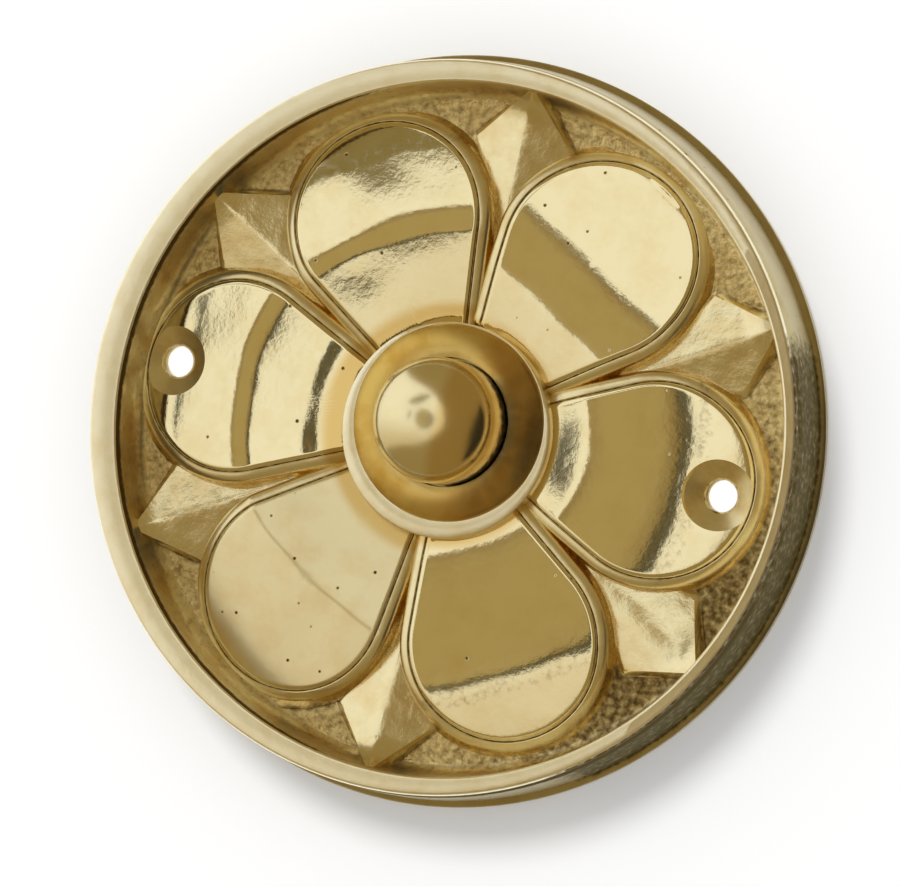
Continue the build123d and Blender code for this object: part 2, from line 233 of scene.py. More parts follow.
class ButtonSizes(bpy.types.PropertyGroup):
    """Sizes of the turned button."""

    radius: length("Button radius", "Radius of the button's shank and dome", 0.00625)
    height: length("Button height", "Height of the dome in front of the wall", 0.012)
    shoulder: length("Shoulder height", "Height where the dome begins", 0.0082)


class Finishes(bpy.types.PropertyGroup):
    """Colours of the metals and the moulding."""

    bright_brass: colour("Bright brass", "Polished metal", (0.89, 0.79, 0.49))
    # Warm brass also paints reflection: a band round the collar and the right half of the button
    warm_brass: colour("Warm brass", "Less polished metal", (0.74, 0.53, 0.2))
    # The tarnish colour also paints shade: the outer wall at the right, a line under the rim, the field at
    # the lower right, the rim's inner edge at the left and dark reflection lines on some petals
    tarnish_and_shade: colour("Tarnish And Shade", "Dark film in the recesses", (0.14, 0.085, 0.022))
    # Painted shade: the dark right flank of the button
    button_flank_shade: colour("Button flank shade", "Dark film on the flank of the button", (0.03, 0.02, 0.008))
    moulding: colour("Moulding", "Black moulded base", (0.022, 0.02, 0.018))


class StageSizes(bpy.types.PropertyGroup):
    """Camera, wall and light."""

    lens: FloatProperty(
        name="Lens", description="Focal length of the camera", default=220.7, subtype="DISTANCE_CAMERA"
    )
    distance: length("Distance", "From the camera to the point that it aims at", 0.55025)
    azimuth: FloatProperty(
        name="Azimuth", description="Camera to the right", default=radians(16.985), subtype="ANGLE"
    )
    elevation: FloatProperty(
        name="Elevation", description="Camera up", default=radians(1.209), subtype="ANGLE"
    )
    roll: FloatProperty(
        name="Roll", description="Turn about the line of sight", default=radians(13.611), subtype="ANGLE"
    )
    backdrop: colour("Backdrop", "Pale wall and floor", (0.96, 0.96, 0.955))


def settings():
    """All the values that the sidebar shows."""
    return bpy.context.scene.bell_push


# Bench geometry


def slope_height(crest, slopes):
    """Height over a radius, from the slope in degrees at some radii. The crest is where it is level."""
    step = 0.1
    first, last = slopes[0][0], slopes[-1][0]
    count = int((last - first) / step) + 1
    heights = [0.0]
    for number in range(1, count + 1):
        radius = first + (number - 0.5) * step
        for (r1, s1), (r2, s2) in zip(slopes, slopes[1:]):
            if radius <= r2:
                break
        slope = s1 + (s2 - s1) * (radius - r1) / (r2 - r1)
        heights.append(heights[-1] - step * tan(radians(slope)))
    lift = crest - max(heights)

    def height(radius):
        place = (min(max(radius, first), last) - first) / step
        low = min(int(place), count - 1)
        share = place - low
        return lift + heights[low] * (1 - share) + heights[low + 1] * share

    return height


crown_heights = [slope_height(petal.crest, petal.crown) for petal in PETALS]


def fade(value, start, end):
    """0 before the start and 1 past the end, eased between."""
    share = min(max((value - start) / (end - start), 0.0), 1.0)
    return share * share * (3 - 2 * share)


def new_bench_mesh():
    """An empty bench mesh with its values for tarnish and painted shade, and for warm metal and painted
    reflection.
    """
    bm = bmesh.new()
    bm.verts.layers.float.new("tarnish_and_shade")
    bm.verts.layers.float.new("warm_and_reflection")
    return bm


def ring(bm, segments, radius, height, centre=(0.0, 0.0), tarnish_and_shade=0.0):
    """A circle of vertices at a height. Returns its vertices in order."""
    layer = bm.verts.layers.float["tarnish_and_shade"]
    place = Matrix.Translation((centre[0], centre[1], height))
    verts = bmesh.ops.create_circle(bm, segments=segments, radius=radius, matrix=place)["verts"]
    for vert in verts:
        vert[layer] = tarnish_and_shade
    return verts


def ring_edges(verts):
    """The edges that join the vertices of one row."""
    own = set(verts)
    return list({edge for vert in verts for edge in vert.link_edges if edge.other_vert(vert) in own})


def grow(bm, verts, spots, finish=0, tarnish_and_shade=0.0):
    """Extrudes a closed row of vertices to new spots, in one finish. Returns the new row."""
    layer = bm.verts.layers.float["tarnish_and_shade"]
    made = bmesh.ops.extrude_edge_only(bm, edges=ring_edges(verts))["geom"]
    fresh = {item for item in made if isinstance(item, bmesh.types.BMVert)}
    row = []
    for vert, spot in zip(verts, spots):
        twin = next(edge.other_vert(vert) for edge in vert.link_edges if edge.other_vert(vert) in fresh)
        twin.co = spot
        twin[layer] = tarnish_and_shade
        row.append(twin)
    for face in made:
        if isinstance(face, bmesh.types.BMFace):
            face.material_index = finish
    return row


def close(bm, verts, finish=0):
    """One face over an open row."""
    for face in bmesh.ops.contextual_create(bm, geom=ring_edges(verts))["faces"]:
        face.material_index = finish


def turned(bm, rows, segments, closed=True):
    """A turned skin through rows of (radius, height, centre, finish, tarnish), made by extruding."""
    first = rows[0]
    row = start = ring(bm, segments, first[0], first[1], first[2], first[4])
    turns = [(Vector(vert.co[:2]) - Vector(first[2])) / first[0] for vert in start]
    made = [start]
    for radius, height, centre, finish, tarnish_and_shade in rows[1:]:
        spots = [(centre[0] + radius * turn.x, centre[1] + radius * turn.y, height) for turn in turns]
        row = grow(bm, row, spots, finish, tarnish_and_shade)
        made.append(row)
    if closed:
        last = grow(bm, row, [vert.co.copy() for vert in start], first[3], first[4])
        bmesh.ops.remove_doubles(bm, verts=start + last, dist=0.00001)
    else:
        close(bm, start, first[3])
        close(bm, row, rows[-1][3])
    return made


def hang(bm, name, materials, body, sharp=radians(32)):
    """Turns a bench mesh into an object hung on the wall, and lets it ride on its body if it names one."""
    edges = [edge for edge in bm.edges if edge.is_boundary]
    if edges:
        bmesh.ops.holes_fill(bm, edges=edges, sides=0)
    bmesh.ops.recalc_face_normals(bm, faces=bm.faces)
    if bm.calc_volume(signed=True) < 0:
        bmesh.ops.reverse_faces(bm, faces=bm.faces)
    bmesh.ops.transform(bm, matrix=Matrix.Scale(MM, 4) @ Matrix.Rotation(pi / 2, 4, "X"), verts=bm.verts)
    mesh = bpy.data.meshes.new(name)
    bm.to_mesh(mesh)
    bm.free()
    for material in materials:
        mesh.materials.append(material)
    for polygon in mesh.polygons:
        polygon.use_smooth = True
    mesh.set_sharp_from_angle(angle=sharp)
    piece = bpy.data.objects.new(name, mesh)
    bpy.context.scene.collection.objects.link(piece)
    if body:
        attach(piece, body)
    return piece


# Materials


class Wiring:
    """Adds nodes to one tree and joins them. Each method gives back the new node's output."""

    def __init__(self, tree):
        self.nodes, self.links = tree.nodes, tree.links

    def feed(self, socket, value):
        """Links an output to a socket, or sets the socket to a number or a colour."""
        if isinstance(value, bpy.types.NodeSocket):
            self.links.new(value, socket)
        else:
            socket.default_value = (*value, 1) if isinstance(value, tuple) else value

    def math(self, operation, *values):
        """The result of one sum."""
        node = self.nodes.new("ShaderNodeMath")
        node.operation = operation
        for socket, value in zip(node.inputs, values):
            self.feed(socket, value)
        return node.outputs[0]

    def soft(self, value, start, end, way="SMOOTHSTEP", to=(0.0, 1.0)):
        """A mask that goes from one value to another between a start and an end."""
        node = self.nodes.new("ShaderNodeMapRange")
        node.interpolation_type = way
        for name, number in zip(("From Min", "From Max", "To Min", "To Max"), (start, end, *to)):
            node.inputs[name].default_value = number
        self.feed(node.inputs["Value"], value)
        return node.outputs["Result"]

    def mix(self, factor, first, second):
        """A colour mixed by a mask."""
        node = self.nodes.new("ShaderNodeMix")
        node.data_type = "RGBA"
        for name, value in (("Factor", factor), ("A", first), ("B", second)):
            self.feed(node.inputs[name], value)
        return node.outputs["Result"]

    def mottle(self, place, scale, detail, roughness=0.5):
        """A cloudy pattern."""
        node = self.nodes.new("ShaderNodeTexNoise")
        values = (place, scale, detail, roughness)
        for name, value in zip(("Vector", "Scale", "Detail", "Roughness"), values):
            self.feed(node.inputs[name], value)
        return node.outputs["Fac"]

    def attribute(self, name):
        """A value that the mesh carries on its vertices."""
        node = self.nodes.new("ShaderNodeAttribute")
        node.attribute_name = name
        return node.outputs["Fac"]


def aged_metal_group():
    """Shared effect: tarnish in recesses and painted shade, cloudy polish, warmer metal and painted
    reflection, fine waves, grain and casting pits.
    """
    if "aged metal" in bpy.data.node_groups:
        return bpy.data.node_groups["aged metal"]
    group = bpy.data.node_groups.new("aged metal", "ShaderNodeTree")
    for name, kind, default in (
        ("Bright", "NodeSocketColor", (0.88, 0.77, 0.43, 1)),
        ("Warm", "NodeSocketColor", (0.75, 0.52, 0.17, 1)),
        ("Tarnish And Shade", "NodeSocketColor", (0.1, 0.05, 0.01, 1)),
        ("Cloud Share", "NodeSocketFloat", 0.3),
        ("Roughness", "NodeSocketFloat", 0.08),
        ("Wave Strength", "NodeSocketFloat", 0.1),
        ("Wave Scale", "NodeSocketFloat", 900.0),
        ("Grain Strength", "NodeSocketFloat", 0.0),
        ("Grain Scale", "NodeSocketFloat", 2500.0),
        ("Pit Share", "NodeSocketFloat", 0.0),
    ):
        socket = group.interface.new_socket(name=name, in_out="INPUT", socket_type=kind)
        socket.default_value = default
    for name, kind in (("Color", "Color"), ("Roughness", "Float"), ("Normal", "Vector")):
        group.interface.new_socket(name=name, in_out="OUTPUT", socket_type="NodeSocket" + kind)
    nodes, links = group.nodes, group.links
    wiring = Wiring(group)
    into = nodes.new("NodeGroupInput").outputs
    out = nodes.new("NodeGroupOutput").inputs
    place = nodes.new("ShaderNodeTexCoord").outputs["Object"]

    cloud = wiring.soft(wiring.mottle(place, 320, 6, 0.6), 0.45, 0.7, "LINEAR")
    cloud = wiring.math("MULTIPLY", cloud, into["Cloud Share"])
    # Warm values on the mesh paint reflection: the band round the collar and the button's right half
    dull_and_reflection = wiring.math("MAXIMUM", cloud, wiring.attribute("warm_and_reflection"))
    polish = wiring.mix(dull_and_reflection, into["Bright"], into["Warm"])

    ragged = wiring.math("MULTIPLY_ADD", wiring.mottle(place, 1500, 5), 0.9, -0.45)
    # Tarnish values on the mesh paint shade as well as tarnish
    dark = wiring.soft(wiring.math("ADD", wiring.attribute("tarnish_and_shade"), ragged), 0.25, 0.95)

    pits = nodes.new("ShaderNodeTexVoronoi")
    pits.inputs["Scale"].default_value = 600
    links.new(place, pits.inputs["Vector"])
    pick = nodes.new("ShaderNodeSeparateColor")
    links.new(pits.outputs["Color"], pick.inputs["Color"])
    gate = wiring.math("LESS_THAN", pick.outputs["Red"], into["Pit Share"])
    size = wiring.soft(pits.outputs["Distance"], 0.06, 0.12, "LINEAR", (1.0, 0.0))
    pit = wiring.math("MULTIPLY", gate, size)
    film = wiring.math("MAXIMUM", dark, pit)
    links.new(wiring.mix(film, polish, into["Tarnish And Shade"]), out["Color"])
    links.new(wiring.math("MULTIPLY_ADD", film, 0.35, into["Roughness"]), out["Roughness"])

    waves = wiring.mottle(place, into["Wave Scale"], 4, 0.55)
    waves = wiring.math("MULTIPLY", waves, into["Wave Strength"])
    grain = wiring.math("MULTIPLY", wiring.mottle(place, into["Grain Scale"], 3), into["Grain Strength"])
    bump = nodes.new("ShaderNodeBump")
    bump.inputs["Distance"].default_value = 0.0001
    height = wiring.math("MULTIPLY_ADD", pit, -0.3, wiring.math("ADD", waves, grain))
    links.new(height, bump.inputs["Height"])
    links.new(bump.outputs["Normal"], out["Normal"])
    return group


def metal(name, bright, warm_and_reflection, tarnish_and_shade, **values):
    """A metal with the shared ageing and the painted shade and reflection that its mesh carries, with its
    own values.
    """
    made = bpy.data.materials.new(name)
    made.use_nodes = True
    nodes, links = made.node_tree.nodes, made.node_tree.links
    shader = nodes["Principled BSDF"]
    shader.inputs["Metallic"].default_value = 1.0
    age = nodes.new("ShaderNodeGroup")
    age.node_tree = aged_metal_group()
    age.inputs["Bright"].default_value = (*bright, 1)
    age.inputs["Warm"].default_value = (*warm_and_reflection, 1)
    age.inputs["Tarnish And Shade"].default_value = (*tarnish_and_shade, 1)
    for key, value in values.items():
        age.inputs[key.replace("_", " ").title()].default_value = value
    links.new(age.outputs["Color"], shader.inputs["Base Color"])
    links.new(age.outputs["Roughness"], shader.inputs["Roughness"])
    links.new(age.outputs["Normal"], shader.inputs["Normal"])
    return made


def casting_materials():
    """Finishes of the casting, in the order of its face finishes."""
    tone = settings().finishes
    bright, warm_and_reflection, dark = tone.bright_brass, tone.warm_brass, tone.tarnish_and_shade
    return [
        metal("petal_brass", bright, warm_and_reflection, dark, cloud_share=0.25, roughness=0.085, wave_strength=0.085,
              wave_scale=1500, pit_share=0.2),
        metal("band_brass", bright, warm_and_reflection, dark, cloud_share=0.5, roughness=0.28, wave_strength=0.25),
        # Rim: a paler, brighter brass than the rest, a painted highlight on its satin top
        metal("rim_brass", (1.0, 0.93, 0.68), (0.9, 0.76, 0.46), dark, cloud_share=0.6, roughness=0.33,
              wave_strength=0.3, grain_strength=0.15),
        metal("cove_brass", bright, warm_and_reflection, dark, cloud_share=0.8, roughness=0.3, wave_strength=0.8,
              grain_strength=0.4),
        metal("ground_brass", (0.84, 0.68, 0.33), warm_and_reflection, dark, cloud_share=0.6, roughness=0.4,
              wave_strength=0.5, grain_strength=2.0, grain_scale=2200),
        # Outer wall: darker brass, tarnish plus painted shade for the dark surroundings that it mirrors
        metal("wall_brass", (0.55, 0.46, 0.23), (0.4, 0.3, 0.12), (0.12, 0.09, 0.025), cloud_share=0.5,
              roughness=0.3, wave_strength=0.3, pit_share=0.5),
        metal("dish_brass", (0.86, 0.68, 0.3), (0.74, 0.5, 0.15), dark, cloud_share=1.0, roughness=0.27,
              wave_strength=0.1),
        metal("cast_back_brass", warm_and_reflection, warm_and_reflection, dark, cloud_share=0.8, roughness=0.45, wave_strength=0.8,
              grain_strength=1.5),
        metal("flank_brass", warm_and_reflection, warm_and_reflection, dark, cloud_share=0.6, roughness=0.25, wave_strength=0.6,
              grain_strength=0.4),
        metal("sepal_brass", bright, warm_and_reflection, dark, cloud_share=0.45, roughness=0.2, wave_strength=0.3,
              wave_scale=1500),
        metal("cone_brass", bright, warm_and_reflection, dark, cloud_share=0.8, roughness=0.3, wave_strength=0.2),
        metal("satin_brass", bright, warm_and_reflection, dark, cloud_share=0.35, roughness=0.3, wave_strength=0.1,
              wave_scale=1500, pit_share=0.25),
    ]


PETAL, BAND, RIM, COVE, GROUND, WALL, DISH, BACK, FLANK, SEPAL, CONE, SATIN = range(12)


# The casting


def petal_reach(angle, offset):
    """Distance from a petal's round centre to its outline, widened by an offset, along an angle."""
    round_radius = PETAL_CENTRE_RADIUS * sin(PETAL_HALF_ANGLE) + offset
    turn = abs((angle + pi) % (2 * pi) - pi)
    straight_from = pi / 2 + PETAL_HALF_ANGLE
    if turn <= straight_from:
        return round_radius
    end = (PETAL_CENTRE_RADIUS - PETAL_END + 0.3 * offset) / -cos(turn)
    return min(round_radius / cos(turn - straight_from), end)


def edge_drop(inside):
    """How far a petal's surface falls at a distance inside its rounded edge."""
    if inside >= PETAL_EDGE_ROUND:
        return 0.0
    return PETAL_EDGE_DROP * (1 - inside / PETAL_EDGE_ROUND) ** 2


def petal_rows(crown):
    """Rows of (offset, height rule, finish, tarnish) from the middle of a petal out to its foot."""
    middle = PETAL_CENTRE_RADIUS * sin(PETAL_HALF_ANGLE) - 0.25
    count = int((middle - PETAL_EDGE_ROUND) / PETAL_STEP)
    insides = [middle - PETAL_STEP * step for step in range(count)] + list(PETAL_EDGE_STEPS)
    rows = []
    for inside in insides:
        rows.append((-inside, lambda r, i=inside: crown(r) - edge_drop(i), PETAL, 0.0))

    def band(radius):
        return max(crown(radius) - PETAL_EDGE_DROP, BAND_LOWEST)

    for offset, under, tarnish_and_shade in BAND_ROWS:
        rows.append((offset, lambda r, u=under: band(r) - u, BAND, tarnish_and_shade))
    edge, drop, _ = BAND_ROWS[-1]
    for share in (0.15, 0.3, 0.45, 0.6, 0.75, 0.9, 1.0):
        fall = 1 - (1 - share) ** 2
        rows.append((
            edge + (BAND_WIDTH - edge) * share,
            lambda r, s=fall: (band(r) - drop) * (1 - s) + (GROUND_HEIGHT - 0.03) * s,
            FLANK, 0.25 + 0.45 * share,
        ))
    rows.append((BAND_WIDTH, lambda r: PETAL_FOOT, FLANK, 1.0))
    return rows


def build_petal(bm, number):
    """One petal with the band round it, as a closed skin."""
    petal = PETALS[number]
    axis = 2 * pi * number / PETAL_COUNT
    along = Matrix.Rotation(axis, 2)
    lean = tan(radians(petal.lean))
    warm_and_reflection = bm.verts.layers.float["warm_and_reflection"]
    crown = crown_heights[number]
    first = ring(bm, PETAL_SEGMENTS, 1.0, 0.0)
    angles = [atan2(vert.co.y, vert.co.x) for vert in first]
    row = None
    for offset, height, finish, tarnish_and_shade in petal_rows(crown):
        spots = []
        for angle in angles:
            reach = petal_reach(angle, offset + petal.grown)
            local = Vector((PETAL_CENTRE_RADIUS + petal.out + reach * cos(angle), reach * sin(angle)))
            spot = along @ local
            place = local.length * (1 - petal.straight) + local.x * petal.straight
            wave = noise.noise((spot.x / WAVE_LENGTH, spot.y / WAVE_LENGTH, 5 + number))
            place += WAVE_SHIFT * wave
            rise = height(place) + lean * local.y
            spots.append((ROSE_CENTRE[0] + spot.x, ROSE_CENTRE[1] + spot.y, rise))
        if row is None:
            row = start = first
            for vert, spot in zip(first, spots):
                vert.co = spot
        else:
            row = grow(bm, row, spots, finish, tarnish_and_shade)
    close(bm, start, PETAL)
    close(bm, row, BACK)
    if number == PETAL_SATIN:
        for face in bm.faces:
            if face.material_index == PETAL:
                face.material_index = SATIN
    # Warmer, less polished ring round the collar, wider at the left, which also paints the brown that the
    # petals mirror there
    middle = Vector(COLLAR_CENTRE)
    reach = WARM_REACH - WARM_LEAN * cos(axis)
    dark = bm.verts.layers.float["tarnish_and_shade"]
    rose = Vector(ROSE_CENTRE)
    for vert in bm.verts:
        flat = Vector(vert.co[:2])
        vert[warm_and_reflection] = 1 - fade((flat - middle).length, reach - WARM_FADE, reach)
        # Painted reflection: a speckled dark line across the petal at a given radius, where a reflection
        # band ends
        if petal.speck:
            out = (flat - rose) @ Vector((cos(axis), sin(axis)))
            off = (flat - rose).length * (1 - petal.straight) + out * petal.straight
            line = 1 - fade(abs(off - petal.speck - DARK_REFLECTION_LINE_SHIFT), *DARK_REFLECTION_LINE_FADE)
            vert[dark] = max(vert[dark], DARK_REFLECTION_LINE_DARKNESS * line)


def sepal_half(radius):
    """Half width of a sepal at a distance from the middle."""
    if radius < SEPAL_WIDE:
        return SEPAL_WIDE_HALF * (radius - SEPAL_START) / (SEPAL_WIDE - SEPAL_START)
    return SEPAL_WIDE_HALF * (SEPAL_TIP - radius) / (SEPAL_TIP - SEPAL_WIDE)


def build_sepal(bm, number):
    """One ridged sepal between two petals, its sides run out softly into the ground, as a closed skin."""
    angle = 2 * pi * (number + 0.5) / PETAL_COUNT
    along = Matrix.Rotation(angle, 2)
    worn = SEPAL_WORN_ROUND if number == SEPAL_WORN else SEPAL_RIDGE_ROUND
    layer = bm.verts.layers.float["tarnish_and_shade"]
    made = bmesh.ops.create_grid(bm, x_segments=72, y_segments=40, size=1.0)["verts"]
    for vert in made:
        share = (vert.co.x + 1) / 2
        radius = SEPAL_START + (SEPAL_TIP - SEPAL_START) * share
        half, part = sepal_half(radius), abs(vert.co.y)
        side = half * min(part / SEPAL_FACET, 1.0)
        side += SEPAL_SKIRT * max(part - SEPAL_FACET, 0.0) / (1 - SEPAL_FACET)
        across = side if vert.co.y > 0 else -side
        ridge = SEPAL_START_HEIGHT + (SEPAL_TIP_HEIGHT - SEPAL_START_HEIGHT) * share
        climb = SEPAL_CLIMBS[number] * max((radius - SEPAL_RISE) / (SEPAL_TIP - SEPAL_RISE), 0.0) ** 2
        ridge += climb
        spot = along @ Vector((radius, across))
        top = ridge - SEPAL_SLOPE * (sqrt(side * side + worn * worn) - 0.4 * worn)
        beyond = side - half
        outward = max(radius - SEPAL_WIDE, 0.0) / (SEPAL_TIP - SEPAL_WIDE)
        foot = GROUND_HEIGHT - 0.04 + SEPAL_FOOT_RISE * outward
        skirt = fade(beyond, 0.0, SEPAL_SKIRT)
        rise = top * (1 - skirt) + min(foot, top) * skirt
        rise += 0.04 * noise.noise((spot.x / 1.8, spot.y / 1.8, 20 + number)) * (1 - skirt)
        vert.co = (SEPAL_CENTRE[0] + spot.x + SEPAL_CLIMB_SHIFT * climb, SEPAL_CENTRE[1] + spot.y, rise)
        vert[layer] = max(0.6 * fade(beyond, 0.1, 0.6), 0.35 * (1 - fade(radius, 16.5, 20)))
    top = list({face for vert in made for face in vert.link_faces})
    for face in top:
        face.material_index = SEPAL
    edges = [edge for edge in {edge for face in top for edge in face.edges} if edge.is_boundary]
    skirt = bmesh.ops.extrude_edge_only(bm, edges=edges)["geom"]
    for vert in [item for item in skirt if isinstance(item, bmesh.types.BMVert)]:
        vert.co.z = PETAL_FOOT
        vert[layer] = 1.0
    for face in [item for item in skirt if isinstance(item, bmesh.types.BMFace)]:
        face.material_index = GROUND
    bmesh.ops.contextual_create(bm, geom=[edge for edge in bm.edges if edge.is_boundary])


def dish_profile(radius, dish, top):
    """Height of the concave dish between its lip and the button's hole."""
    share = (dish - radius) / (dish - HOLE_RADIUS)
    return top - (top - DISH_FOOT) * sin(share * pi / 2) ** 0.8


def build_collar(bm, sizes):
    """The raised collar with its concave dish and the hole for the button, as a closed skin."""
    outer, top = sizes.collar_radius / MM, sizes.collar_height / MM
    dish = sizes.dish_radius / MM
    rows = [
        (HOLE_RADIUS, COLLAR_FOOT, CORE_CENTRE, BACK, 1.0),
        (outer, COLLAR_FOOT, COLLAR_CENTRE, BACK, 1.0),
        (outer, 3.7, COLLAR_CENTRE, BAND, 0.9),
        (outer, 4.3, COLLAR_CENTRE, BAND, 0.5),
        (outer - 0.02, top - 0.3, COLLAR_CENTRE, BAND, 0.0),
        (outer - 0.08, top - 0.14, COLLAR_CENTRE, RIM, 0.0),
        (outer - 0.2, top - 0.06, COLLAR_CENTRE, RIM, 0.0),
        (dish + 0.12, top, DISH_CENTRE, RIM, 0.0),
        (dish, top - 0.03, DISH_CENTRE, RIM, 0.0),
    ]
    steps = 14
    for step in range(1, steps + 1):
        share = step / steps
        radius = dish + (HOLE_RADIUS - dish) * share
        centre = tuple(a + (b - a) * share for a, b in zip(DISH_CENTRE, CORE_CENTRE))
        rows.append((radius, dish_profile(radius, dish, top), centre, DISH, 0.0))
    rows.append((HOLE_RADIUS - 0.05, 4.35, CORE_CENTRE, DISH, 0.5))
    rows.append((HOLE_RADIUS - 0.05, 3.6, CORE_CENTRE, BACK, 1.0))
    turned(bm, rows, sizes.segments)


def build_blank(bm, sizes):
    """Outer wall, rim, sunk field, floor and hollow back, as a closed skin."""
    base, rim, top = sizes.base_radius / MM, sizes.rim_radius / MM, sizes.rim_height / MM
    inner = sizes.rim_inner_radius / MM
    rows = [
        (HOLE_RADIUS, 3.3, CORE_CENTRE, BACK, 1.0),
        (9.4, 3.3, CORE_CENTRE, BACK, 0.6),
        (9.4, CAVITY_HEIGHT, CORE_CENTRE, BACK, 0.6),
        (20.0, CAVITY_HEIGHT, BLANK_CENTRE, BACK, 0.3),
        (31.2, CAVITY_HEIGHT, BLANK_CENTRE, BACK, 0.3),
        (31.8, CAVITY_HEIGHT - 0.2, BLANK_CENTRE, BACK, 0.5),
        (33.3, 0.15, BLANK_CENTRE, BACK, 0.4),
        (33.5, 0.0, BLANK_CENTRE, BACK, 0.1),
        (base - 0.1, 0.0, BLANK_CENTRE, WALL, 0.0),
        (base, 0.08, BLANK_CENTRE, WALL, 0.0),
        (base, 0.75, BLANK_CENTRE, WALL, 0.0),
        (base - 0.15, 0.9, BLANK_CENTRE, WALL, 0.1),
        (36.9, 1.1, BLANK_CENTRE, WALL, 0.3),
        (36.85, 1.5, BLANK_CENTRE, WALL, 0.2),
        (36.7, 4.0, BLANK_CENTRE, WALL, 0.05),
        (36.45, 7.0, RIM_CENTRE, WALL, 0.05),
        (36.38, 7.55, RIM_CENTRE, WALL, 0.05),
        (36.25, 7.75, RIM_CENTRE, WALL, 0.05),
        (36.22, 8.1, RIM_CENTRE, WALL, 0.05),
        (rim, 8.2, RIM_CENTRE, WALL, 0.0),
    ]
    for step in range(1, 7):
        turn = (pi / 2 - RIM_FALL) * step / 6
        radius = rim - RIM_EDGE_ROUND * (1 - cos(turn))
        height = top - RIM_EDGE_DROP - RIM_EDGE_ROUND * (1 - sin(turn))
        rows.append((radius, height, RIM_CENTRE, RIM, 0.0))
    rows += [
        (inner + 0.32, top, FIELD_CENTRE, RIM, 0.0),
        (inner + 0.15, top - 0.05, FIELD_CENTRE, RIM, 0.0),
        (inner + 0.04, top - 0.18, FIELD_CENTRE, RIM, 0.0),
        (inner, top - 0.35, FIELD_CENTRE, RIM, 0.2),
        (inner - 0.03, top - 0.7, FIELD_CENTRE, COVE, 0.6),
        (inner - 0.06, 7.6, FIELD_CENTRE, COVE, 0.3),
        (inner - 0.12, 6.2, FIELD_CENTRE, COVE, 0.25),
        (inner - 0.2, 5.0, FIELD_CENTRE, COVE, 0.3),
        (33.85, 4.4, FIELD_CENTRE, COVE, 0.35),
        (33.5, 3.85, FIELD_CENTRE, COVE, 0.35),
        (33.0, 3.5, FIELD_CENTRE, COVE, 0.4),
        (32.3, GROUND_HEIGHT, FIELD_CENTRE, GROUND, 0.45),
        (26.0, GROUND_HEIGHT, FIELD_CENTRE, GROUND, 0.45),
        (16.0, GROUND_HEIGHT, ROSE_CENTRE, GROUND, 0.7),
        (8.0, GROUND_HEIGHT, CORE_CENTRE, GROUND, 0.8),
        (HOLE_RADIUS, GROUND_HEIGHT, CORE_CENTRE, GROUND, 0.8),
    ]
    turned(bm, rows, sizes.segments)
    layer = bm.verts.layers.float["tarnish_and_shade"]
    for vert in bm.verts:
        side = Vector(vert.co[:2]) - Vector(BLANK_CENTRE)
        # Painted shade: the outer wall darker at the right, and a dark line just under the rim at the lower
        # right
        if side.length > 36.0 and 1.0 < vert.co.z < top - 0.3:
            turn = atan2(side.y, side.x)
            vert[layer] = max(vert[layer], 0.45 * fade(cos(turn + radians(15)), 0.6, 0.9))
            vert[layer] = max(vert[layer], 0.85 * fade(cos(turn + radians(15)), 0.68, 0.8))
            if top - 1.7 < vert.co.z < top - 0.8:
                vert[layer] = max(vert[layer], 1.3 * fade(cos(turn + radians(55)), 0.6, 0.85))
        inside = Vector(vert.co[:2]) - Vector(FIELD_CENTRE)
        # Painted shade: the field darker towards the lower right
        if vert.co.z < 5 and 20 < inside.length < 34:
            vert[layer] += 0.25 * fade(cos(atan2(inside.y, inside.x) + radians(30)), 0.6, 1.0)
        # Painted shadow: a dark line along the rim's inner edge at the left, under its lip
        if inner - 0.1 < inside.length < inner + 0.01 and top - 1.0 < vert.co.z < top - 0.3:
            vert[layer] = 1.3 * fade(-cos(atan2(inside.y, inside.x) - radians(10)), 0.1, 0.5)


def cutter(sizes, countersunk):
    """The two fixing holes as one solid to cut with, with or without their countersinks."""
    bm = new_bench_mesh()
    hole, mouth = sizes.fixing_hole_radius / MM, sizes.countersink_radius / MM
    depth = sizes.countersink_height / MM
    for side in (-1, 1):
        centre = (side * sizes.fixing_spacing / MM / 2, 0.0)
        if countersunk:
            rows = [
                (hole, CUTTER_FOOT, centre, CONE, 0.0),
                (hole, depth - (mouth - hole) * tan(COUNTERSINK_SLOPE), centre, CONE, 0.3),
                (mouth, depth, centre, CONE, 0.0),
                (mouth, CUTTER_TOP, centre, CONE, 0.0),
            ]
        else:
            rows = [(hole, CUTTER_FOOT, centre, CONE, 0.3), (hole, CUTTER_GROUND_TOP, centre, CONE, 0.3)]
        turned(bm, rows, HOLE_SEGMENTS, closed=False)
    return bm


def cut_holes(piece, tool):
    """Cuts the tool out of a piece for good."""
    modifier = piece.modifiers.new("holes", "BOOLEAN")
    modifier.operation = "DIFFERENCE"
    modifier.solver = "EXACT"
    modifier.object = tool
    graph = bpy.context.evaluated_depsgraph_get()
    cut = bpy.data.meshes.new_from_object(piece.evaluated_get(graph))
    piece.modifiers.clear()
    old = piece.data
    piece.data = cut
    cut.name = old.name + "_cut"
    bpy.data.meshes.remove(old)


